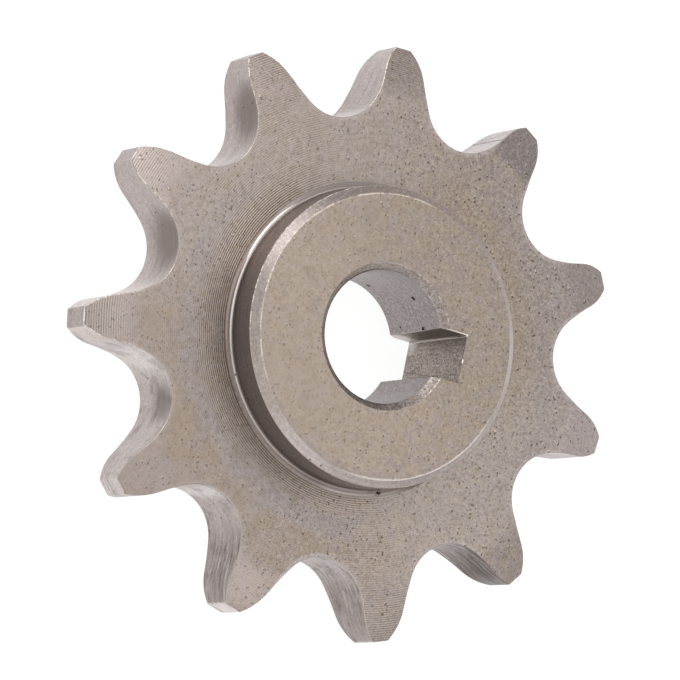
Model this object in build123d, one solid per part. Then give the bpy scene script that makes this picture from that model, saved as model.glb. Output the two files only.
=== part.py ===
from build123d import *
import os
from math import radians, sin

# Chain sprocket with a hub on one side and a keyed bore, turned and cut from one
# piece of steel.  Millimetres and degrees.  The bore's axis is Z, the hub points
# to +Z, the keyway opens towards +X, and Z = 0 is the middle of the tooth ring's
# thickness, the plane that the chain runs in.

# ---- Chain and tooth form -------------------------------------------------------
# The standard roller-chain tooth: a seat for the roller, a hollow working arc, a
# short straight and a rounded topping arc.  The seat's half angle and the working
# arc's angle both depend on the number of teeth.
chain_pitch = 12.7
roller_diameter = 7.77
tooth_count = 11
seat_clearance = 0.11          # seat radius beyond the roller's own radius
seat_angle = 35 + 60 / tooth_count
working_angle = 18 - 56 / tooth_count
working_arc_radius = 10.3
flank_straight = 0.73
topping_arc_radius = 4.7
tip_height = 2.66              # tip circle above the pitch circle
tooth_lag_angle = 6.2          # nearest tooth lies this far clockwise of the keyway

# ---- Tooth ring, turned before the teeth are cut --------------------------------
plate_thickness = 5.8
bevel_depth = 4.4              # how far in from the tips the curved bevels start
bevel_arc_radius = 13.5
front_relief = 1.45            # axial fall of the bevel on the hub's side
back_relief = 1.1
tip_edge_round = 0.25

# ---- Hub ------------------------------------------------------------------------
hub_diameter = 25.1
hub_projection = 3.9
hub_chamfer_width = 0.7        # measured along the hub's face
hub_chamfer_height = 0.55      # measured along the axis
root_fillet = 0.6              # where the hub rises from the plate

# ---- Bore and keyway ------------------------------------------------------------
bore_diameter = 11.1
front_mouth_chamfer = 0.6
back_mouth_chamfer = 0.7
keyway_width = 4.05
keyway_depth = 1.9             # beyond the bore's own wall

# ---- Worked out from the sizes above --------------------------------------------
pitch_angle = 360 / tooth_count
pitch_radius = chain_pitch / 2 / sin(radians(pitch_angle / 2))
seat_radius = roller_diameter / 2 + seat_clearance
outside_radius = pitch_radius + tip_height
bevel_start_radius = outside_radius - bevel_depth
hub_radius = hub_diameter / 2
bore_radius = bore_diameter / 2
keyway_floor = bore_radius + keyway_depth
plate_front = plate_thickness / 2
plate_back = -plate_thickness / 2
hub_top = plate_front + hub_projection
overall_length = plate_thickness + hub_projection


def polar(length, angle):
    """Vector of this length, at this angle from +X."""
    return Vector(length, 0).rotate(Axis.Z, angle)


def turned_blank():
    """The lathe-turned body: tooth ring with curved bevels, root fillet, hub and bore."""
    with BuildPart() as blank:
        with BuildSketch(Plane.XZ) as section:
            with BuildLine():
                Line(
                    (outside_radius, plate_back + back_relief),
                    (outside_radius, plate_front - front_relief),
                )
                RadiusArc(
                    (bevel_start_radius, plate_front),
                    (outside_radius, plate_front - front_relief),
                    bevel_arc_radius,
                )
                Line((bevel_start_radius, plate_front), (hub_radius + root_fillet, plate_front))
                RadiusArc(
                    (hub_radius + root_fillet, plate_front),
                    (hub_radius, plate_front + root_fillet),
                    root_fillet,
                )
                Polyline(
                    (hub_radius, plate_front + root_fillet),
                    (hub_radius, hub_top - hub_chamfer_height),
                    (hub_radius - hub_chamfer_width, hub_top),
                    (bore_radius + front_mouth_chamfer, hub_top),
                    (bore_radius, hub_top - front_mouth_chamfer),
                    (bore_radius, plate_back + back_mouth_chamfer),
                    (bore_radius + back_mouth_chamfer, plate_back),
                    (bevel_start_radius, plate_back),
                )
                RadiusArc(
                    (outside_radius, plate_back + back_relief),
                    (bevel_start_radius, plate_back),
                    bevel_arc_radius,
                )
            make_face()
            fillet(section.vertices().group_by(Axis.X)[-1], tip_edge_round)
        revolve(axis=Axis.Z)
    return blank.part


def gap_profile():
    """The gap that lies along +X, from the bottom of the roller's seat to past the tips."""
    seat_end = 90 + seat_angle
    working_end = seat_end - working_angle
    topping_start = working_end - 180
    tooth_middle = pitch_angle / 2

    roller_centre = Vector(pitch_radius, 0)
    working_centre = roller_centre - polar(working_arc_radius - seat_radius, seat_end)
    straight_start = working_centre + polar(working_arc_radius, working_end)
    straight_end = straight_start + polar(flank_straight, working_end - 90)
    topping_centre = straight_end + polar(topping_arc_radius, working_end)
    crown = topping_centre + polar(topping_arc_radius, tooth_middle)
    clear_of_tip = crown + polar(outside_radius, tooth_middle)

    with BuildSketch() as profile:
        with BuildLine():
            CenterArc(roller_centre, seat_radius, 180, seat_end - 180)
            CenterArc(working_centre, working_arc_radius, seat_end, -working_angle)
            Line(straight_start, straight_end)
            CenterArc(topping_centre, topping_arc_radius, topping_start, tooth_middle - topping_start)
            Line(crown, clear_of_tip)
            mirror(about=Plane.XZ)
            Line(clear_of_tip, (clear_of_tip.X, -clear_of_tip.Y))
        make_face()
    return profile.sketch


def gap_cutter():
    """The milling cutter's path through one gap, long enough to pass over the hub."""
    return extrude(Plane.XY.offset(plate_back) * gap_profile(), amount=overall_length)


def keyway_broach():
    """The key's slot, from the bore's axis out to the keyway's floor."""
    return Pos(keyway_floor / 2, 0, (plate_back + hub_top) / 2) * Box(
        keyway_floor, keyway_width, overall_length
    )


def sprocket():
    """The blank, broached, with one gap cut for each tooth."""
    body = turned_blank() - keyway_broach()
    cutter = gap_cutter()
    first_gap = pitch_angle / 2 - tooth_lag_angle
    for gap in range(tooth_count):
        body -= Rot(0, 0, first_gap + gap * pitch_angle) * cutter
    return body


os.makedirs("parts", exist_ok=True)
export_step(sprocket(), "parts/sprocket.step")
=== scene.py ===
import bpy
from collections import namedtuple
from math import cos, pi, radians, sin
from mathutils import Matrix, Vector


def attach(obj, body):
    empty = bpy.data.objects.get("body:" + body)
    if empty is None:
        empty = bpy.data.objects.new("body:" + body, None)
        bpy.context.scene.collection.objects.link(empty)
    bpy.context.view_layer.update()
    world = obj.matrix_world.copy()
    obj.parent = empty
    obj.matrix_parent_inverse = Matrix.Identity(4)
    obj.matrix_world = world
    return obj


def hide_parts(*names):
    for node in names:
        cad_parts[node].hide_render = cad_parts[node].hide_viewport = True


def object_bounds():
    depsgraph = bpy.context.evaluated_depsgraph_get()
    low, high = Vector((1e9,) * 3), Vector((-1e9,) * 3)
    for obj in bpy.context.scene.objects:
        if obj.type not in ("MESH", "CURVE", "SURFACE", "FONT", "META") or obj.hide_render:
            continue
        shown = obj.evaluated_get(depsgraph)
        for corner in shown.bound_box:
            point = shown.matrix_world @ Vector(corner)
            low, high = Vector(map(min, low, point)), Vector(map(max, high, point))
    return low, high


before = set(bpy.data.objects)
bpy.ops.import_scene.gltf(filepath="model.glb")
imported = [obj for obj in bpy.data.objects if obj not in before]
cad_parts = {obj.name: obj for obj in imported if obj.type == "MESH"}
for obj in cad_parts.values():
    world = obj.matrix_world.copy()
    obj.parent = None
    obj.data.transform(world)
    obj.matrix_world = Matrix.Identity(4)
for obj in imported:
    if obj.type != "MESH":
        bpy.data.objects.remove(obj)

cad_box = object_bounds()

# ---- Camera ---------------------------------------------------------------------
# A long lens, 60 degrees above the plate on the hub's side, across from the keyway.
# It is rolled nearly a quarter turn, so that the keyway points to the right and +Y
# points up.
camera_place = Vector((-0.195110, -0.074471, 0.367028))
camera_aim = Vector((-0.0006208, -0.0000568, 0.0))
camera_roll = radians(82.877)
lens_length = 267.417
sensor_width = 36

bpy.ops.object.select_all(action="DESELECT")
bpy.ops.object.camera_add(location=camera_place)
camera = bpy.context.object
camera.name = "camera"
camera.data.lens = lens_length
camera.data.sensor_width = sensor_width
camera.data.clip_start = 0.01
level_turn = (camera_aim - camera_place).to_track_quat("-Z", "Y").to_matrix()
camera.rotation_euler = (level_turn @ Matrix.Rotation(camera_roll, 3, "Z")).to_euler()
bpy.context.scene.camera = camera

# ---- Floor ----------------------------------------------------------------------
# Matt white board that the sprocket lies on with its plain side down.  Its paint is
# grey, and it glows only to the camera and in reflections, so that it looks white
# and keeps the shadow.
floor_size = 1.2
floor_gap = 0.00002
board_paint = "808080"
board_glow = 0.9


def linear(hex_colour):
    """Linear RGBA of an sRGB hex colour such as 9c9088."""
    parts = [int(hex_colour[i:i + 2], 16) / 255 for i in (0, 2, 4)]
    return [c / 12.92 if c <= 0.04045 else ((c + 0.055) / 1.055) ** 2.4 for c in parts] + [1.0]


def node(tree, kind, links=None, sockets=None, **settings):
    """Add a node with its settings, the sockets' own values and the links into it."""
    new = tree.nodes.new(kind)
    for name, value in settings.items():
        setattr(new, name, value)
    for name, value in (sockets or {}).items():
        new.inputs[name].default_value = value
    for name, source in (links or {}).items():
        tree.links.new(source, new.inputs[name])
    return new


board_top = cad_box[0].z - floor_gap
bpy.ops.mesh.primitive_plane_add(size=floor_size, location=(0, 0, board_top))
floor = bpy.context.object
floor.name = "floor"
bpy.ops.object.transform_apply(location=True)

board = bpy.data.materials.new("matt_white_board")
board.use_nodes = True
tree = board.node_tree
tree.nodes.clear()
paint = node(tree, "ShaderNodeBsdfDiffuse", sockets={"Color": linear(board_paint)})
path = node(tree, "ShaderNodeLightPath")
seen = node(tree, "ShaderNodeMath",
            {0: path.outputs["Is Camera Ray"], 1: path.outputs["Is Glossy Ray"]}, operation="MAXIMUM")
shown = node(tree, "ShaderNodeMath",
             {0: seen.outputs[0], 1: path.outputs["Is Transmission Ray"]}, operation="MAXIMUM")
level = node(tree, "ShaderNodeMath", {0: shown.outputs[0]}, {1: board_glow}, operation="MULTIPLY")
glow = node(tree, "ShaderNodeEmission", {"Strength": level.outputs[0]})
surface = node(tree, "ShaderNodeAddShader", {0: paint.outputs[0], 1: glow.outputs[0]})
node(tree, "ShaderNodeOutputMaterial", {"Surface": surface.outputs[0]})
floor.data.materials.append(board)

# ---- Lamps and surroundings -----------------------------------------------------
# A pale room and four softboxes: a low key and a high one beyond the hub from the
# keyway, one high on the keyway's own side, and a wide, low fill.  Azimuths are
# degrees from the keyway, which opens to +X.
room_light = 0.86

world = bpy.data.worlds.new("pale_room")
bpy.context.scene.world = world
world.use_nodes = True
tree = world.node_tree
tree.nodes.clear()
room = node(tree, "ShaderNodeBackground", sockets={"Color": linear("ffffff"), "Strength": room_light})
node(tree, "ShaderNodeOutputWorld", {"Surface": room.outputs[0]})


def softbox(name, azimuth, elevation, distance, size, watts):
    """Square area lamp that faces the sprocket from this direction."""
    place = Vector((distance, 0, 0))
    place.rotate(Matrix.Rotation(-radians(elevation), 3, "Y"))
    place.rotate(Matrix.Rotation(radians(azimuth), 3, "Z"))
    bpy.ops.object.light_add(type="AREA", location=place)
    lamp = bpy.context.object
    lamp.name = name
    lamp.data.shape = "SQUARE"
    lamp.data.size = size
    lamp.data.energy = watts
    lamp.rotation_euler = (-place).to_track_quat("-Z", "Y").to_euler()


softbox("key_softbox", azimuth=126, elevation=31, distance=0.9, size=0.45, watts=1.9)
softbox("overhead_softbox", azimuth=126, elevation=66, distance=0.3, size=0.25, watts=0.22)
softbox("side_softbox", azimuth=-50, elevation=60, distance=0.9, size=0.5, watts=0.7)
softbox("fill_softbox", azimuth=-118, elevation=34, distance=1.0, size=1.3, watts=2.4)

# ---- Sprocket: the piece --------------------------------------------------------
# Chain sprocket turned from one piece of plain carbon steel, its teeth milled and its
# keyway broached.  Handling has taken the sharpness off the edges.  The sprocket's
# own sizes are in millimetres, as a maker gives them.
mm = 0.001
bore_radius = 5.55
mouth_chamfer = 0.6
keyway_floor = 7.45            # from the bore's axis
hub_radius = 12.55
root_fillet = 0.6
bevel_start = 20.8
merge_gap = 0.002              # the CAD mesh is loose triangles, which are joined first
flat_angle = 0.3               # faces this near to level with each other become one
smooth_angle = 30
edge_angle = 50                # edges sharper than this are broken
edge_break = 0.1

bpy.ops.object.select_all(action="DESELECT")
cad_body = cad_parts["sprocket"]
sprocket = cad_body.copy()
sprocket.data = cad_body.data.copy()
sprocket.name = "sprocket_steel"
bpy.context.scene.collection.objects.link(sprocket)
bpy.context.view_layer.objects.active = sprocket
sprocket.select_set(True)
bpy.ops.mesh.customdata_custom_splitnormals_clear()
bpy.ops.object.mode_set(mode="EDIT")
bpy.ops.mesh.select_all(action="SELECT")
bpy.ops.mesh.remove_doubles(threshold=merge_gap * mm)
bpy.ops.mesh.dissolve_limited(angle_limit=radians(flat_angle))
bpy.ops.object.mode_set(mode="OBJECT")

# Faces get the finish of the cut that made them, by where they lie and face.
FACED, HUB, MILLED, BORED, BROACHED, EDGE = range(6)
sprocket.data.materials.clear()
for finish in ("faced", "turned", "milled", "bored", "broached", "edge_strip"):
    sprocket.data.materials.append(bpy.data.materials.new(finish + "_bare_steel"))
for face in sprocket.data.polygons:
    centre = face.center / mm
    distance = centre.xy.length
    flatness = abs(face.normal.z)
    if distance < keyway_floor + 0.75 and centre.x > bore_radius + 0.05 and flatness < 0.3:
        face.material_index = BROACHED
    elif distance < bore_radius + mouth_chamfer and flatness < 0.9:
        face.material_index = BORED
    elif flatness > 0.999 or distance > bevel_start and flatness > 0.6:
        face.material_index = FACED
    elif distance < hub_radius + root_fillet + 0.15:
        face.material_index = HUB
    else:
        face.material_index = MILLED

bpy.ops.object.shade_smooth_by_angle(angle=radians(smooth_angle))
breaks = sprocket.modifiers.new("edge_break", "BEVEL")
breaks.offset_type = "WIDTH"
breaks.width = edge_break * mm
breaks.segments = 2
breaks.limit_method = "ANGLE"
breaks.angle_limit = radians(edge_angle)
breaks.use_clamp_overlap = False
breaks.loop_slide = False
breaks.material = EDGE
bpy.ops.object.modifier_apply(modifier="edge_break")
flats = sprocket.modifiers.new("flats_stay_flat", "WEIGHTED_NORMAL")
flats.keep_sharp = True
bpy.ops.object.modifier_apply(modifier="flats_stay_flat")

# ---- Sprocket: turned faces -----------------------------------------------------
# Plain carbon steel, faced in the lathe and left bare.  It looks warm grey and satin,
# with the tool's rings one feed apart, cool grey bands where thin scale is left, and
# small dark pits.
plate_face = -cad_box[0].z / mm    # the plate is as thick below Z = 0 as above it
hub_face = cad_box[1].z / mm
hub_chamfer_width = 0.7
feed = 0.19                    # between two of the tool's rings
tooth_count = 11
tooth_lag_angle = 6.2          # nearest tooth lies this far clockwise of the keyway
chain_pitch = 12.7
roller_diameter = 7.77
seat_clearance = 0.11
first_gap_angle = 180 / tooth_count - tooth_lag_angle
pitch_radius = chain_pitch / 2 / sin(pi / tooth_count)
seat_radius = roller_diameter / 2 + seat_clearance
face_rim = hub_radius - hub_chamfer_width
pit_glint_shift = (0.08, -0.09, 0)
scratch_centre = (-4.98, -16.41, plate_face)
scratch_radius = 0.9

steel_warm = "ab9d8f"
steel_cool = "a09593"
steel_tan = "aa957c"
steel_pink = "a1959d"
steel_painted_light = "c6bcb2"
steel_shaded = "95897f"
steel_smeared = "857a72"
scale_tan = "9d8c77"
scale_cool = "9e9698"
foot_painted_shade = "80766f"
bevel_dull = "827a7c"
bevel_clean = "b9aeac"
tip_painted_shade = "958b88"
rolled_highlight_pale = "b5aba9"
blotch_dark = "6a5f58"
blotch_pale = "cfc5bb"
grain_light = "c6bbaf"
grain_dark = "7b6e65"
ridge_highlight_warm = "d8c5ac"
ridge_highlight_cool = "c4bbb6"
groove_shade = "40362f"
pit_dark = "42322a"
pit_glint = "ded4ca"
burr_highlight_pale = "eadfd0"

# The place that is being coloured, in mm.  Angles round the ring are degrees from the
# keyway, the far side is the one across from it, and above and below the keyway mean
# towards +Y and towards -Y.
Place = namedtuple("Place", "point x y height distance outward")


def places(tree):
    """The point, its parts, its distance from the bore's axis and the way outward from it."""
    own = node(tree, "ShaderNodeTexCoord").outputs["Object"]
    point = node(tree, "ShaderNodeMapping", {"Vector": own}, {"Scale": (1 / mm, 1 / mm, 1 / mm)}).outputs[0]
    flat = node(tree, "ShaderNodeMapping", {"Vector": own}, {"Scale": (1 / mm, 1 / mm, 0)}).outputs[0]
    parts = node(tree, "ShaderNodeSeparateXYZ", {0: point}).outputs
    distance = node(tree, "ShaderNodeVectorMath", {0: flat}, operation="LENGTH").outputs["Value"]
    outward = node(tree, "ShaderNodeVectorMath", {0: flat}, operation="NORMALIZE").outputs[0]
    return Place(point, parts["X"], parts["Y"], parts["Z"], distance, outward)


def combine(operation, *values):
    """The values, the first of them a socket, worked together one after another."""
    result = values[0]
    for value in values[1:]:
        tree = result.id_data
        step = node(tree, "ShaderNodeMath", {0: result}, operation=operation)
        if isinstance(value, (int, float)):
            step.inputs[1].default_value = value
        else:
            tree.links.new(value, step.inputs[1])
        result = step.outputs[0]
    return result


def overlap(*masks):
    """Where all of these masks are; a plain number thins them.

    A mask is 1 where its mark is full and 0 where there is none.
    """
    return combine("MULTIPLY", *masks)


def either(*masks):
    """Where any of these masks is, the strongest winning; a plain number is the least."""
    return combine("MAXIMUM", *masks)


def fade(value, start, end, low=0.0, high=1.0):
    """Smooth change from low at start to high at end."""
    return node(value.id_data, "ShaderNodeMapRange", {"Value": value},
                {"From Min": start, "From Max": end, "To Min": low, "To Max": high},
                interpolation_type="SMOOTHSTEP").outputs[0]


def side(at, angle, beyond, within, low=0.0, high=1.0):
    """Mask of one side of the ring, low beyond so many degrees of the angle and high within."""
    towards = (cos(radians(angle)), sin(radians(angle)), 0)
    nearness = node(at.outward.id_data, "ShaderNodeVectorMath", {0: at.outward}, {1: towards},
                    operation="DOT_PRODUCT").outputs["Value"]
    return fade(nearness, cos(radians(beyond)), cos(radians(within)), low, high)


def away(point, centre):
    """Distance in mm between the point and a fixed one."""
    return node(point.id_data, "ShaderNodeVectorMath", {0: point}, {1: centre},
                operation="DISTANCE").outputs["Value"]


def tint(colour, towards, mask, share=1.0):
    """The colour, gone this share of the way to another one where the mask is full."""
    if share < 1:
        mask = overlap(mask, share)
    tree = mask.id_data
    mix = node(tree, "ShaderNodeMix", {0: mask}, data_type="RGBA")
    for socket, value in ((mix.inputs[6], colour), (mix.inputs[7], towards)):
        if isinstance(value, str):
            socket.default_value = linear(value)
        else:
            tree.links.new(value, socket)
    return mix.outputs[2]


def grain(point, size, detail=2.0, roughness=0.6, distortion=0.0):
    """Cloudy pattern whose patches are about this many mm across."""
    return node(point.id_data, "ShaderNodeTexNoise", {"Vector": point},
                {"Scale": 1 / size, "Detail": detail, "Roughness": roughness,
                 "Distortion": distortion}).outputs[0]


def ragged(point, reach):
    """Point shifted at random by up to about this many mm, which makes round marks ragged."""
    shift = node(point.id_data, "ShaderNodeTexNoise", {"Vector": point}, {"Scale": 5.0, "Detail": 1.0})
    return node(point.id_data, "ShaderNodeVectorMath", {0: shift.outputs["Color"], 2: point},
                {1: (reach, reach, reach)}, operation="MULTIPLY_ADD").outputs[0]


def pits(point, spacing, size, dimensions="3D"):
    """Mask of pits of up to this size in mm, about this far apart."""
    cell = node(point.id_data, "ShaderNodeTexVoronoi", {"Vector": point}, {"Scale": 1 / spacing},
                voronoi_dimensions=dimensions)
    chance = node(point.id_data, "ShaderNodeSeparateColor", {0: cell.outputs["Color"]}).outputs[0]
    reach = overlap(chance, chance, size / 2 / spacing)
    return fade(combine("DIVIDE", cell.outputs["Distance"], reach), 1.0, 0.5)


def metal(slot, build):
    """Fill this slot's steel with the colour, roughness and relief in mm that build gives."""
    made = sprocket.data.materials[slot]
    made.use_nodes = True
    tree = made.node_tree
    tree.nodes.clear()
    colour, roughness, relief = build(places(tree))
    bump = node(tree, "ShaderNodeBump", {"Height": relief}, {"Strength": 1.0, "Distance": mm})
    shader = node(tree, "ShaderNodeBsdfPrincipled",
                  {"Base Color": colour, "Roughness": roughness, "Normal": bump.outputs[0]},
                  {"Metallic": 1.0})
    node(tree, "ShaderNodeOutputMaterial", {"Surface": shader.outputs[0]})


def on_plate(at):
    """Mask of the plate, as against the hub's face."""
    return fade(at.height, hub_face, plate_face)


def on_hub_face(at):
    """Mask of the hub's face, as against the plate."""
    return fade(at.height, plate_face, hub_face)


def outside_hub(at):
    """Mask of the plate beyond the hub's foot."""
    return overlap(fade(at.distance, hub_radius + 0.15, hub_radius + 0.35), on_plate(at))


def on_bevel(at):
    """Mask of the curved bevels towards the tips."""
    return fade(at.distance, bevel_start - 0.1, bevel_start + 0.15)


def front(at):
    """Mask of the hub's side of the plate, a fifth as strong on the plain side."""
    return fade(at.height, 0.0, 1.0, low=0.2)


def ring_relief_and_shading(at):
    """How strongly the feed shows, from 0 to 1, in relief and as painted highlight and shade: most at the
    hub's foot and near the tips.
    """
    uneven = fade(grain(at.point, 2.0, detail=1.0), 0.38, 0.6, 0.3, 1.0)
    deepest = overlap(fade(at.distance, 17.0, 13.8, high=0.95), side(at, 151, 31, 11.5))
    far_foot = overlap(fade(at.distance, 16.4, 14.8, high=0.54), side(at, 175, 72.5, 37))
    far_plate = overlap(side(at, 132, 26, 13, high=0.32), uneven)
    low_foot = overlap(fade(at.distance, 15.2, 13.6, 0.08, 0.55), side(at, -132, 69.5, 49.5))
    far_tips = overlap(fade(at.distance, 21.7, 22.9, high=0.42), side(at, 143, 60, 47),
                       either(uneven, 0.6))
    low_tip = overlap(fade(at.distance, 20.0, 22.5, 0.15, 0.4), side(at, -74, 21.5, 10))
    faint = fade(grain(at.point, 4.0, detail=1.0), 0.5, 0.7, 0.02, 0.12)
    return overlap(either(deepest, far_foot, far_plate, low_foot, far_tips, low_tip, faint),
                   outside_hub(at), front(at))


def scale_ring(at, clouds):
    """Mask of a cloudy ring about the hub, mostly on the far side, where grey scale is left."""
    return overlap(fade(at.distance, 14.6, 15.8, low=0.6), fade(at.distance, 18.6, 17.2),
                   side(at, -160, 96, 45.5), fade(clouds, 0.3, 0.5, low=0.4), front(at))


def cool_share(at, clouds, scale):
    """How cool the steel's grey is, from 0 to 1."""
    bevels = overlap(on_bevel(at), side(at, 50, 63, 41.5))
    rim = overlap(fade(at.distance, 10.9, 11.8), side(at, -80, 72.5, 37, high=0.6), on_hub_face(at))
    cloudy = overlap(fade(clouds, 0.46, 0.7, high=0.7), either(on_plate(at), 0.25))
    return either(overlap(scale, outside_hub(at)), bevels, rim, overlap(on_plate(at), 0.65), cloudy, 0.1)


def patched(at, clouds, scale):
    """The steel's colour, in patches from a millimetre wide to a whole side of the ring, with painted shade
    on one side and painted light on two others.
    """
    colour = tint(steel_warm, steel_cool, cool_share(at, clouds, scale))
    hue = grain(at.point, 1.1, detail=3.0, roughness=0.8)
    varied = side(at, 20, 127, 53, 0.2, 0.4)
    colour = tint(colour, steel_tan, overlap(fade(hue, 0.5, 0.62), varied))
    colour = tint(colour, steel_pink, overlap(fade(hue, 0.5, 0.38), varied))
    # Painted shade on the side turned away from the key light.
    colour = tint(colour, steel_shaded, side(at, 45, 107.5, 26, high=0.45))
    smears = fade(grain(at.point, 1.4, detail=3.0, roughness=0.8), 0.48, 0.68, high=0.4)
    colour = tint(colour, steel_smeared, overlap(smears, either(on_plate(at), 0.6)))
    # Painted light on the plate inside the bevels, on two sides.
    pale = either(side(at, 128, 66.5, 26, high=0.17), side(at, -36, 53, 18, high=0.25))
    return tint(colour, steel_painted_light, overlap(pale, fade(at.distance, 21.5, 20.5), on_plate(at)))


def scaled(at, colour, clouds):
    """The colour, tan and cool in places where the scale is thin."""
    tan_outside = overlap(fade(at.distance, 16.2, 17.4), side(at, -125, 66.5, 32),
                          fade(clouds, 0.62, 0.4, 0.15, 0.5), on_plate(at),
                          fade(at.distance, 21.0, 20.7))
    tan_inside = overlap(fade(at.distance, 17.5, 15.0), side(at, 35, 53, 18), 0.45, outside_hub(at))
    colour = tint(colour, scale_tan, either(tan_outside, tan_inside))
    cool_outside = overlap(fade(at.distance, 15.5, 19.5), side(at, 12, 53, 18), 0.4)
    cool_below = overlap(fade(at.distance, 14.6, 15.4), fade(at.distance, 17.2, 16.4),
                         side(at, -98, 20, 8), 0.5)
    return tint(colour, scale_cool, either(cool_outside, cool_below))


def shaded_foot_and_bevels(at, colour):
    """The colour with painted shade at the hub's foot and on the far side's bevels and tips, dull on some
    other bevels, and clean on one.
    """
    # Painted shade at the hub's foot and on the bevels, on the far side below the keyway.
    foot_shade = overlap(fade(at.distance, 16.5, 13.4), side(at, -145, 56.5, 32), outside_hub(at))
    tip_shade = overlap(fade(at.distance, 20.6, 21.6), side(at, -155, 41.5, 26), 0.5)
    colour = tint(colour, foot_painted_shade, either(foot_shade, tip_shade), 0.7)
    dull_bevels = either(side(at, 62, 26, 14, high=0.6), side(at, 22, 21.5, 11.5, high=0.08))
    colour = tint(colour, bevel_dull, overlap(on_bevel(at), dull_bevels))
    # Painted shade on the far side's tips.
    far_tips = overlap(fade(at.distance, 21.0, 22.0), side(at, 165, 37, 26))
    colour = tint(colour, tip_painted_shade, far_tips, 0.5)
    clean_bevel = overlap(fade(at.distance, 20.5, 21.0), side(at, -8, 15.2, 9.9))
    return tint(colour, bevel_clean, clean_bevel, 0.6)


def rolled_edge_highlight(at):
    """Mask of the narrow band where the plate rolls over into each gap, painted as a highlight.

    The angle is folded into half a gap, and the roller's seat is a circle about the
    point where the gap's middle meets the pitch circle.
    """
    tree = at.point.id_data
    turn = combine("ADD", combine("ARCTAN2", at.y, at.x), -radians(first_gap_angle))
    folded = combine("PINGPONG", turn, pi / tooth_count)
    cosine = node(tree, "ShaderNodeMath", {0: folded}, operation="COSINE").outputs[0]
    sine = node(tree, "ShaderNodeMath", {0: folded}, operation="SINE").outputs[0]
    in_gap = node(tree, "ShaderNodeCombineXYZ", {"X": combine("MULTIPLY", at.distance, cosine),
                                                 "Y": combine("MULTIPLY", at.distance, sine)})
    from_seat = away(in_gap.outputs[0], (pitch_radius, 0, 0))
    sides = either(side(at, 20, 127, 66.5, 0.25, 0.7), side(at, -95, 14, 8))
    return overlap(fade(from_seat, seat_radius + 0.45, seat_radius + 0.2), sides)


def blotched(at, colour):
    """The colour with dull and clean blotches half a millimetre across, on the far side."""
    blotch = grain(at.point, 0.55, detail=1.0)
    where = overlap(side(at, 180, 101.5, 66.5), either(on_plate(at), 0.5),
                    fade(at.distance, 19.5, 16.0, low=0.3))
    colour = tint(colour, blotch_dark, overlap(fade(blotch, 0.5, 0.64), where), 0.13)
    return tint(colour, blotch_pale, overlap(fade(blotch, 0.5, 0.36), where), 0.1)


def broken_burr_highlight(at):
    """Strength of a burr's painted highlight, which is rubbed away in places about a millimetre long."""
    return fade(grain(at.point, 1.2, detail=3.0, roughness=0.9), 0.4, 0.62, 0.15, 0.75)


def far_rim(at):
    """Mask of the hub's rim on its far side, weaker in the middle."""
    return overlap(side(at, 145, 78.5, 45.5), side(at, 153, 18, 10, 1.0, 0.5))


def burr_highlight_and_scratch(at):
    """Mask of the burr along the hub face's rim, painted as a highlight on the sides that catch the light,
    and of one curved scratch.
    """
    rim = overlap(fade(at.distance, face_rim - 0.11, face_rim - 0.06), on_hub_face(at), broken_burr_highlight(at),
                  either(far_rim(at), side(at, -55, 41.5, 26, high=0.7)))
    from_centre = away(at.point, scratch_centre)
    scratch = overlap(fade(from_centre, scratch_radius - 0.07, scratch_radius - 0.02),
                      fade(from_centre, scratch_radius + 0.07, scratch_radius + 0.02),
                      fade(at.x, -4.9, -4.5), 0.22)
    return either(rim, scratch)


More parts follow.
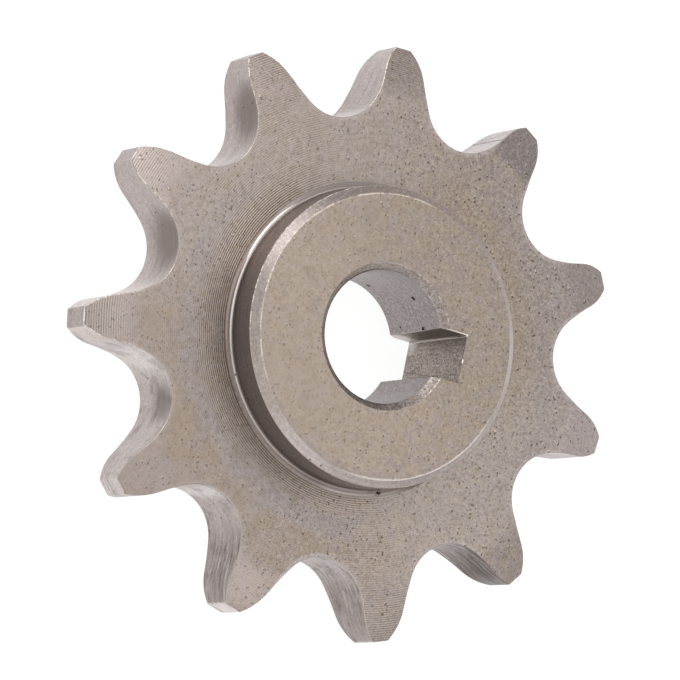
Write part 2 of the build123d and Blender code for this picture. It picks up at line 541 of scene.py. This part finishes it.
def faced(at):
    tree = at.point.id_data
    clouds = grain(at.point, 3.4, detail=3.0, distortion=0.6)
    scale = scale_ring(at, clouds)
    colour = scaled(at, patched(at, clouds, scale), clouds)
    # Painted shade at the hub's foot and on some bevels and tips, and a painted highlight along each gap's
    # edge.
    colour = tint(shaded_foot_and_bevels(at, colour), rolled_highlight_pale, rolled_edge_highlight(at))
    colour = blotched(at, colour)

    # Satin grain, strongest at the keyway's side.  The real grain is too fine to show,
    # so it is drawn 0.3 mm across.
    lively = overlap(either(side(at, 25, 107.5, 41.5, low=0.35), side(at, -52, 72.5, 37, 0.35, 0.9),
                            side(at, 150, 45.5, 18, 0.35, 0.65)),
                     either(on_plate(at), 0.75))
    mottle = grain(at.point, 0.3, roughness=1.0)
    colour = tint(colour, grain_light, overlap(fade(mottle, 0.5, 0.7), lively), 0.45)
    colour = tint(colour, grain_dark, overlap(fade(mottle, 0.5, 0.3), lively), 0.55)

    # The tool's rings, in relief, with painted highlights on the ridges and painted shade in the grooves.
    # A wave's rings are pi / 10 apart at scale 1.
    rings = node(tree, "ShaderNodeTexWave", {"Vector": at.point},
                 {"Scale": pi / 10 / feed, "Distortion": 0.9, "Detail": 1.0, "Detail Scale": 0.6},
                 wave_type="RINGS", rings_direction="Z").outputs["Fac"]
    relief_and_shading = ring_relief_and_shading(at)
    ridge_highlight = tint(ridge_highlight_warm, ridge_highlight_cool, fade(at.distance, 20.5, 21.5))
    colour = tint(colour, ridge_highlight, overlap(fade(rings, 0.55, 0.95), relief_and_shading), 0.55)
    colour = tint(colour, groove_shade, overlap(fade(rings, 0.5, 0.1), relief_and_shading), 0.8)

    # Pits, some with a bright speck where the far wall faces the light.
    uneven = ragged(at.point, 0.3)
    beside = node(tree, "ShaderNodeMapping", {"Vector": uneven}, {"Location": pit_glint_shift}).outputs[0]
    crowd = either(fade(grain(at.point, 3.0, detail=1.0), 0.4, 0.6),
                   overlap(scale, side(at, 165, 53, 26)))
    large = overlap(pits(uneven, spacing=0.9, size=0.3, dimensions="2D"), either(lively, 0.55))
    small = overlap(pits(uneven, spacing=0.42, size=0.26, dimensions="2D"),
                    either(crowd, 0.5), either(lively, 0.6))
    holes = either(large, small)
    glints = overlap(pits(beside, spacing=0.9, size=0.3, dimensions="2D"), crowd, lively)
    colour = tint(colour, pit_glint, glints, 0.55)
    colour = tint(colour, pit_dark, holes, 0.7)
    # The burr at the hub face's rim, painted as a highlight, and a pale scratch.
    colour = tint(colour, burr_highlight_pale, burr_highlight_and_scratch(at))

    roughness = fade(mottle, 0.35, 0.65, 0.38, 0.5)
    relief = combine("ADD", combine("MULTIPLY", rings, relief_and_shading, 0.01),
                     combine("MULTIPLY", mottle, 0.008), combine("MULTIPLY", holes, -0.03))
    return colour, roughness, relief


metal(FACED, faced)

# ---- Sprocket: hub --------------------------------------------------------------
# The same steel turned along the hub: smoother than the faces, its grey side painted darker as a
# dark reflection, and painted light and shade on the chamfer, mostly lighter.  The root has
# painted shade low down and painted light above, with a painted highlight line where it runs
# into the side.
hub_chamfer_height = 0.55
chamfer_foot = hub_face - hub_chamfer_height
line_widening = 0.09           # of the bright line, on the far side

hub_side_grey_and_reflection = "8d8788"
hub_side_painted_light = "aaa2a0"
streak_and_shade_grey = "6f6663"
hub_speck_light = "c8beba"
hub_speck_dark = "77706a"
root_painted_shade = "766a64"
root_painted_light = "a89e9b"
line_highlight = "f6efec"
chamfer_grey = "a49893"
rim_highlight = "f2e7e4"
rust = "64401f"
rust_black = "2a1a12"


def streaked(point, level, upright, **kind):
    """Grain drawn out to this many mm, in the plate's plane and upright."""
    drawn = node(point.id_data, "ShaderNodeMapping", {"Vector": point},
                 {"Scale": (1 / level, 1 / level, 1 / upright)}).outputs[0]
    return grain(drawn, 1.0, **kind)


def spot(point, centre, inner, outer):
    """Round patch about this point, full inside the inner radius and gone at the outer one."""
    return fade(away(point, centre), outer, inner)


def hub_root(at, rise):
    """Colour of the fillet at the hub's foot, by how far it has risen above the plate: painted shade low
    down, painted light higher up and on two sides, and a painted highlight line.
    """
    colour = tint(root_painted_shade, root_painted_light, fade(rise, 0.18, 0.26))
    paler = either(side(at, 115, 32, 18, high=0.55), side(at, -78, 21.5, 11.5, high=0.6))
    colour = tint(colour, root_painted_light, paler)
    widened = combine("ADD", rise, side(at, 148, 17.3, 8.1, high=line_widening))
    highlight_line = overlap(fade(widened, 0.16, 0.22), either(side(at, 150, 63.5, 29.5), 0.4),
                          side(at, 146, 20, 10, 1.0, 0.55))
    return tint(colour, line_highlight, highlight_line)


def chamfer_grey_and_shading(at, colour, chamfer):
    """The colour with the chamfer's grey, and painted light and shade that change on its way round the hub.
    """
    colour = tint(colour, chamfer_grey, chamfer)
    # Painted light and shade, a grey for each side of the chamfer.
    for where, grey, share in ((side(at, 86, 60, 26), "84736c", 0.66),
                               (side(at, -60, 84.5, 26), "b8aead", 0.3),
                               (side(at, -102, 37, 18), "cac0bd", 0.35),
                               (side(at, 148, 41.5, 21.5), "8c827e", 0.8),
                               (side(at, -152, 21.5, 11.5), "988c85", 0.6),
                               (side(at, 10, 37, 18), "c6bcb8", 0.4)):
        colour = tint(colour, grey, overlap(chamfer, where), share)
    return colour


def rim_burr_highlight(at, colour):
    """The colour with the burr along the chamfer's inner edge, painted as a highlight as on the face beside
    it, and a wider painted highlight there below the keyway.
    """
    rim = overlap(fade(at.height, hub_face - 0.05, hub_face - 0.02), broken_burr_highlight(at), far_rim(at))
    colour = tint(colour, burr_highlight_pale, rim)
    low_rim_highlight = overlap(fade(at.height, hub_face - 0.09, hub_face - 0.05), side(at, -60, 44, 23))
    return tint(colour, rim_highlight, low_rim_highlight, 0.75)


def rusted(at, colour):
    """The colour with a little rust in the root, below the keyway and on the far side."""
    thin_line = overlap(fade(at.distance, hub_radius + 0.4, hub_radius + 0.25),
                        fade(at.distance, hub_radius + 0.05, hub_radius + 0.15),
                        side(at, -65, 7.7, 5.7))
    stain = either(overlap(spot(at.point, (-12.6, 3.45, 2.95), 0.05, 0.22), 0.7),
                   overlap(spot(at.point, (3.4, -12.2, 3.3), 0.15, 0.6), 0.4),
                   overlap(thin_line, 0.4))
    colour = tint(colour, rust, stain)
    return tint(colour, rust_black, spot(ragged(at.point, 0.6), (4.34, -11.87, 3.31), 0.14, 0.32))


def turned_hub(at):
    rise = combine("ADD", at.height, -plate_face)
    chamfer = fade(at.height, chamfer_foot - 0.1, chamfer_foot + 0.05)
    below_chamfer = fade(at.height, chamfer_foot + 0.05, chamfer_foot - 0.1)
    body = overlap(fade(rise, 0.34, 0.4), below_chamfer)
    colour = chamfer_grey_and_shading(at, hub_root(at, rise), chamfer)
    # Painted shade on the fillet's lower part, on the far side below the keyway.
    low_root_shade = overlap(fade(rise, root_fillet, 0.4), side(at, -122, 37, 18))
    colour = tint(colour, streak_and_shade_grey, low_root_shade, 0.4)
    # The side is painted darker as a dark reflection, with painted light on the side towards the key light.
    colour = tint(colour, hub_side_grey_and_reflection, body)
    colour = tint(colour, hub_side_painted_light, overlap(body, side(at, 148, 21.5, 9.9)), 0.35)

    # Streaks 10 mm long round the hub, and grain drawn 0.3 mm across, as on the faces.
    streaks = streaked(at.point, level=10, upright=1 / 6)
    colour = tint(colour, streak_and_shade_grey, fade(streaks, 0.4, 0.75, high=0.35))
    mottle = grain(at.point, 0.3, roughness=1.0)
    side_grain = overlap(fade(at.height, chamfer_foot - 0.15, chamfer_foot + 0.05, 0.18, 0.3),
                         fade(rise, 0.3, 0.4, low=0.3))
    lively = either(side_grain, overlap(chamfer, side(at, 145, 53, 26), 0.3))
    colour = tint(colour, hub_speck_light, overlap(fade(mottle, 0.5, 0.66), lively))
    colour = tint(colour, hub_speck_dark, overlap(fade(mottle, 0.5, 0.34), lively))
    holes = pits(at.point, spacing=1.1, size=0.4)
    colour = tint(colour, pit_dark, holes, 0.7)
    colour = rusted(at, rim_burr_highlight(at, colour))

    roughness = either(fade(rise, 0.32, 0.4, 0.26, 0.36), overlap(chamfer, 0.34))
    relief = combine("ADD", combine("MULTIPLY", streaks, 0.003),
                     combine("MULTIPLY", mottle, 0.006), combine("MULTIPLY", holes, -0.02))
    return colour, roughness, relief


metal(HUB, turned_hub)

# ---- Sprocket: tooth flanks -----------------------------------------------------
# Milled steel: the cutter leaves light and dark streaks that run round each gap's
# wall, and a smooth pinkish grey between them.  The tips keep a narrow land of the
# turned blank.
tip_height = 2.66              # tip circle above the pitch circle
front_relief = 1.45            # fall of the bevel between its start and the tips
tip_radius = pitch_radius + tip_height
tip_edge = plate_face - front_relief
step_radius = 22.22

flank_grey = "b3a8a5"
flank_lighter = "d6cac4"
flank_pale = "dcd4d1"
flank_dull = "7d736f"
flank_darkened = "6b5f5a"
flank_blotch = "655a55"
seat_pale = "e6dfdc"
land_warm = "8c7f77"
land_pale = "d2cac7"
streak_dark = "564b46"
flank_brown_dark = "442f24"
torn_black = "35281f"
step_dark = "5f5550"
flank_speck_dark = "857a76"
flank_speck_light = "d8d0cd"
tip_highlight_white = "f6f2f0"


def flank_shade_and_patches(at):
    """Masks of the flanks painted darker as shade, and of dark patches in some of the seats."""
    below_keyway = overlap(side(at, -42, 32, 14), fade(at.distance, 17.0, 21.0, low=0.35))
    lowest_gap = overlap(side(at, -97, 32, 21.5, high=0.6), fade(at.distance, 17.8, 21.5, low=0.1))
    upper_gap = overlap(side(at, 115, 21.5, 14, high=0.22), fade(at.distance, 18.5, 20.0))
    dark_patches = either(spot(at.point, (-18.5, 3.7, 1.4), 1.0, 4.3),
                     spot(at.point, (-13.8, 15.9, 1.4), 1.0, 4.0),
                     overlap(spot(at.point, (-15.3, -9.5, 1.4), 0.8, 3.0), 0.9))
    return either(below_keyway, lowest_gap, upper_gap), dark_patches


def flank_tones(at, land):
    """The flanks' grey before the streaks: lighter, pale, dull and blotched in places."""
    lighter_part = overlap(side(at, -176, 13, 8), fade(at.distance, 18.5, 20.5),
                       fade(at.distance, tip_radius - 0.1, tip_radius - 0.2))
    colour = tint(flank_grey, flank_lighter, lighter_part)
    colour = tint(colour, flank_pale, side(at, 66, 9.9, 6.8, high=0.4))
    seats = either(overlap(side(at, -163, 13, 8), fade(at.distance, 22.0, 20.5),
                           fade(at.distance, 18.3, 19.3), 0.75),
                   overlap(side(at, -130, 9.9, 5.7), fade(at.distance, 19.5, 18.5), 0.7),
                   overlap(side(at, 103, 9.9, 5.7), fade(at.distance, 19.8, 18.8), 0.6),
                   overlap(side(at, 146, 8.1, 5.1), fade(at.distance, 19.8, 18.8), 0.3))
    colour = tint(colour, seat_pale, seats)
    blotches = overlap(fade(grain(at.point, 1.6), 0.5, 0.66), side(at, -100, 96, 66.5))
    colour = tint(colour, flank_blotch, blotches, 0.4)
    dull = either(overlap(side(at, 165, 11.5, 7.3), fade(at.distance, 21.0, 22.5), 0.2),
                  side(at, -160, 9.9, 6.8, high=0.14))
    colour = tint(colour, flank_dull, dull)
    colour = tint(colour, land_warm, overlap(land, side(at, -169.8, 16.3, 11.5)), 0.5)
    pale_lands = either(side(at, -107, 21.5, 9.9), side(at, -137, 9.9, 5.7, high=0.45))
    return tint(colour, land_pale, overlap(land, pale_lands))


def darkened_flank(at, colour, streaks):
    """The colour with the flank below the keyway darkened brown and torn by the cutter."""
    under = side(at, -46, 12.8, 8.1)
    colour = tint(colour, flank_brown_dark, overlap(under, fade(at.distance, 20.0, 23.5, high=0.7)))
    torn = overlap(fade(streaks, 0.47, 0.56), under, fade(at.height, -1.2, 1.2, high=0.8))
    return tint(colour, torn_black, torn)


def cutter_step(at):
    """Mask of a step right across one flank, where the cutter stopped."""
    return overlap(fade(at.distance, step_radius - 0.17, step_radius - 0.07),
                   fade(at.distance, step_radius + 0.18, step_radius + 0.08), side(at, 64, 8.1, 5.7))


def tip_burr_highlight(at):
    """Mask of the burr along the front edge of two tips, painted as a highlight."""
    return overlap(fade(at.distance, tip_radius - 0.3, tip_radius - 0.2),
                   fade(at.height, tip_edge - 0.15, tip_edge - 0.11),
                   fade(grain(at.point, 0.7), 0.42, 0.56, 0.3, 0.9),
                   either(side(at, -169.8, 5.7, 3.6), side(at, 155, 5.1, 2.6)))


def milled(at):
    land = fade(at.distance, tip_radius - 0.15, tip_radius - 0.05)
    # Painted shade on some flanks, and dark patches in some seats.
    flank_shade, dark_patches = flank_shade_and_patches(at)
    darker_parts = overlap(either(flank_shade, dark_patches), fade(at.distance, tip_radius - 0.08, tip_radius - 0.15))
    colour = tint(flank_tones(at, land), flank_darkened, darker_parts, 0.85)

    # Streaks about 0.3 mm wide and a few millimetres long, hardly any in one seat.
    streaks = streaked(at.point, level=3.333, upright=0.303, detail=4.0, roughness=0.8, distortion=0.3)
    smooth_seat = spot(at.point, (-8.6, -16.4, 0.0), 1.6, 3.2)
    busy = either(flank_shade, overlap(fade(grain(at.point, 3.2), 0.4, 0.62, low=0.3),
                                side(at, -90, 107.5, 72.5, low=0.35),
                                side(at, -155, 23, 13, 1.0, 0.4),
                                fade(smooth_seat, 0.0, 1.0, 1.0, 0.2)))
    colour = tint(colour, streak_dark, overlap(fade(streaks, 0.5, 0.62), busy), 0.75)
    above_keyway = overlap(fade(streaks, 0.55, 0.6), side(at, 62, 26, 14))
    colour = tint(colour, flank_dull, above_keyway, 0.8)
    light_streaks = overlap(fade(streaks, 0.46, 0.34), busy, fade(dark_patches, 0.0, 0.6, 0.5, 0.1))
    colour = tint(colour, flank_pale, light_streaks)
    colour = darkened_flank(at, colour, streaks)
    colour = tint(colour, step_dark, cutter_step(at), 0.75)

    # Pits, the tip burr's painted highlight, and grain drawn 0.3 mm across, as on the faces.
    fine = grain(at.point, 0.3, roughness=1.0)
    colour = tint(colour, flank_speck_dark, fade(fine, 0.5, 0.7, high=0.4))
    clean = fade(darker_parts, 0.2, 0.8, 1.0, 0.15)
    colour = tint(colour, flank_speck_light, overlap(fade(fine, 0.5, 0.3, high=0.35), clean))
    holes = pits(at.point, spacing=1.0, size=0.34)
    colour = tint(colour, pit_dark, holes, 0.6)
    colour = tint(colour, tip_highlight_white, tip_burr_highlight(at))

    roughness = fade(streaks, 0.35, 0.65, 0.3, 0.42)
    relief = combine("ADD", combine("MULTIPLY", streaks, 0.02),
                     combine("MULTIPLY", fine, 0.004), combine("MULTIPLY", holes, -0.02))
    return colour, roughness, relief


metal(MILLED, milled)

# ---- Sprocket: bore -------------------------------------------------------------
# Bored steel: neutral grey, with the boring tool's fine scores round the wall.  Both
# mouths are chamfered, with painted light on the far side and painted shade below and
# above the keyway, and the tool opened four blowholes.
mouth_rim = bore_radius + mouth_chamfer
blowholes = (((3.43, 4.36, 3.75), 0.14, 0.27),     # place, inner and outer radius
             ((5.11, 2.18, 3.4), 0.14, 0.28),
             ((4.95, 2.52, -0.3), 0.06, 0.17),
             ((1.55, 5.33, -1.0), 0.12, 0.28))

bore_grey = "968d8b"
bore_score = "6f6664"
bore_low = "6f6462"
bore_speck_light = "c8bfbb"
bore_speck_dark = "625956"
mouth_grey = "a1968f"
mouth_painted_light = "cbbfb7"
mouth_painted_shade = "7d736e"
lip_bright = "e2d9d2"
blowhole_black = "0c0a09"


def bored(at):
    mouth = fade(at.distance, bore_radius + 0.05, bore_radius + 0.15)
    colour = tint(bore_grey, mouth_grey, mouth)
    # Painted light on the mouths' far side, and painted shade below and above the keyway.
    colour = tint(colour, mouth_painted_light, overlap(mouth, side(at, 140, 60, 18)), 0.8)
    colour = tint(colour, mouth_painted_shade, overlap(mouth, side(at, -95, 53, 26)), 0.45)
    colour = tint(colour, mouth_painted_shade, overlap(mouth, side(at, 42, 28.5, 11.5)), 0.45)
    lip = overlap(fade(at.distance, mouth_rim - 0.12, mouth_rim - 0.05),
                  fade(grain(at.point, 0.9), 0.4, 0.6))
    colour = tint(colour, lip_bright, lip, 0.6)

    # Scores 0.2 mm wide.  The grain is drawn a quarter of a millimetre across, because
    # the real one is too fine to show.
    scores = streaked(at.point, level=2.5, upright=0.2, detail=3.0, roughness=0.75, distortion=0.2)
    colour = tint(colour, bore_score, fade(scores, 0.48, 0.7, high=0.5))
    low_wall = overlap(fade(grain(at.point, 0.6, detail=3.0, roughness=0.9), 0.46, 0.6),
                       side(at, -50, 45.5, 26))
    colour = tint(colour, bore_low, low_wall, 0.6)
    mottle = grain(at.point, 0.26, roughness=1.0)
    colour = tint(colour, bore_speck_light, fade(mottle, 0.5, 0.68, high=0.55))
    colour = tint(colour, bore_speck_dark, fade(mottle, 0.5, 0.32, high=0.6))
    holes = either(*(spot(at.point, centre, inner, outer) for centre, inner, outer in blowholes))
    colour = tint(colour, blowhole_black, holes)

    roughness = either(fade(mottle, 0.35, 0.65, 0.32, 0.42), overlap(mouth, 0.5))
    relief = combine("ADD", combine("MULTIPLY", scores, 0.006),
                     combine("MULTIPLY", mottle, 0.008), combine("MULTIPLY", holes, -0.04))
    return colour, roughness, relief


metal(BORED, bored)

# ---- Sprocket: keyway -----------------------------------------------------------
# Broached steel: the broach tears along the bore, so the walls and the floor are dark
# and rough, with streaks along the axis.
keyway_wall = 2.025            # from the keyway's middle

key_grey = "9a8f88"
key_torn = "6b5f59"
key_wall_shade = "594f4a"
key_speck_light = "e0d6cf"
key_speck_dark = "463c37"
key_corner_highlight = "efe7e1"
key_end_reflection = "ded7d3"


def broached(at):
    # Streaks 0.3 mm wide, and grain drawn 0.2 mm across, coarser than the real one.
    tears = streaked(at.point, level=0.2857, upright=2, detail=4.0, roughness=0.85, distortion=0.2)
    colour = tint(key_grey, key_torn, fade(tears, 0.48, 0.68, high=0.6))
    speckle = grain(at.point, 0.22, roughness=1.0)
    colour = tint(colour, key_speck_light, fade(speckle, 0.5, 0.68, high=0.5))
    colour = tint(colour, key_speck_dark, fade(speckle, 0.5, 0.32, high=0.55))
    # Painted shade on the upper wall, deepening towards the hub's face.
    upper_wall_shade = overlap(fade(at.y, keyway_wall - 0.075, keyway_wall - 0.025),
                         fade(at.height, -2.0, 1.5))
    colour = tint(colour, key_wall_shade, upper_wall_shade, 0.5)

    # A painted highlight runs along the corner at the upper wall's foot, and a painted
    # reflection lights the wall near the plain side.
    corner = overlap(fade(at.x, keyway_floor - 0.2, keyway_floor - 0.1),
                     fade(at.y, keyway_wall - 0.175, keyway_wall - 0.075))
    colour = tint(colour, key_corner_highlight, corner)
    colour = tint(colour, key_end_reflection, spot(at.point, (6.3, 2.03, -2.3), 0.9, 1.9), 0.75)
    holes = pits(at.point, spacing=0.6, size=0.3)
    colour = tint(colour, pit_dark, holes, 0.8)

    roughness = fade(tears, 0.35, 0.65, 0.4, 0.55)
    relief = combine("ADD", combine("MULTIPLY", tears, 0.01),
                     combine("MULTIPLY", speckle, 0.01), combine("MULTIPLY", holes, -0.03))
    return colour, roughness, relief


metal(BROACHED, broached)

# ---- Sprocket: edges ------------------------------------------------------------
# Thin strips where two cuts meet: burr with a painted highlight in some places, on the
# sides that catch the light, and rubbed away in others.
edge_plain = "a89d96"
edge_bright = "f0e8e0"
edge_keyway = "80766f"
edge_darkened = "6b5f58"


def edge_strip(at):
    broken = fade(grain(at.point, 0.6, detail=3.0, roughness=0.8), 0.47, 0.56)
    # Painted highlights on the burr along the teeth and the hub's rim, on the sides that catch the light.
    teeth = overlap(fade(at.distance, 19.0, 22.5), side(at, 140, 72.5, 45.5),
                    fade(at.height, tip_edge - 0.25, tip_edge - 0.1), 0.65)
    rim = overlap(fade(at.distance, hub_radius + 0.15, hub_radius + 0.05), fade(at.distance, 9.0, 10.0),
                  either(side(at, 125, 84.5, 53), side(at, -50, 26, 14)))
    colour = tint(edge_plain, edge_bright, overlap(broken, either(teeth, rim)))

    # Dull round the keyway and darker on the flank below it, but for one burr and a nick.
    by_keyway = fade(at.distance, 8.5, 8.2)
    dull = overlap(by_keyway, fade(at.y, keyway_wall - 0.075, keyway_wall - 0.175))
    colour = tint(colour, edge_keyway, dull)
    darkened_edge = overlap(side(at, -46, 12.8, 8.1), fade(at.distance, 18.5, 20.0))
    colour = tint(colour, edge_darkened, darkened_edge, 0.8)
    key_burr = overlap(by_keyway, fade(at.y, keyway_wall - 0.095, keyway_wall - 0.045),
                       fade(at.height, hub_face - 0.3, hub_face - 0.2), 0.7)
    nick = spot(at.point, (7.5, -0.19, 6.78), 0.12, 0.2)
    colour = tint(colour, edge_bright, either(key_burr, nick))

    roughness = fade(broken, 0.0, 1.0, 0.45, 0.3)
    relief = combine("MULTIPLY", broken, 0.004)
    return colour, roughness, relief


metal(EDGE, edge_strip)

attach(sprocket, "root")
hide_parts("sprocket")

# ---- Picture --------------------------------------------------------------------
# Colours are shown as they are written.
bpy.context.scene.view_settings.view_transform = "Standard"
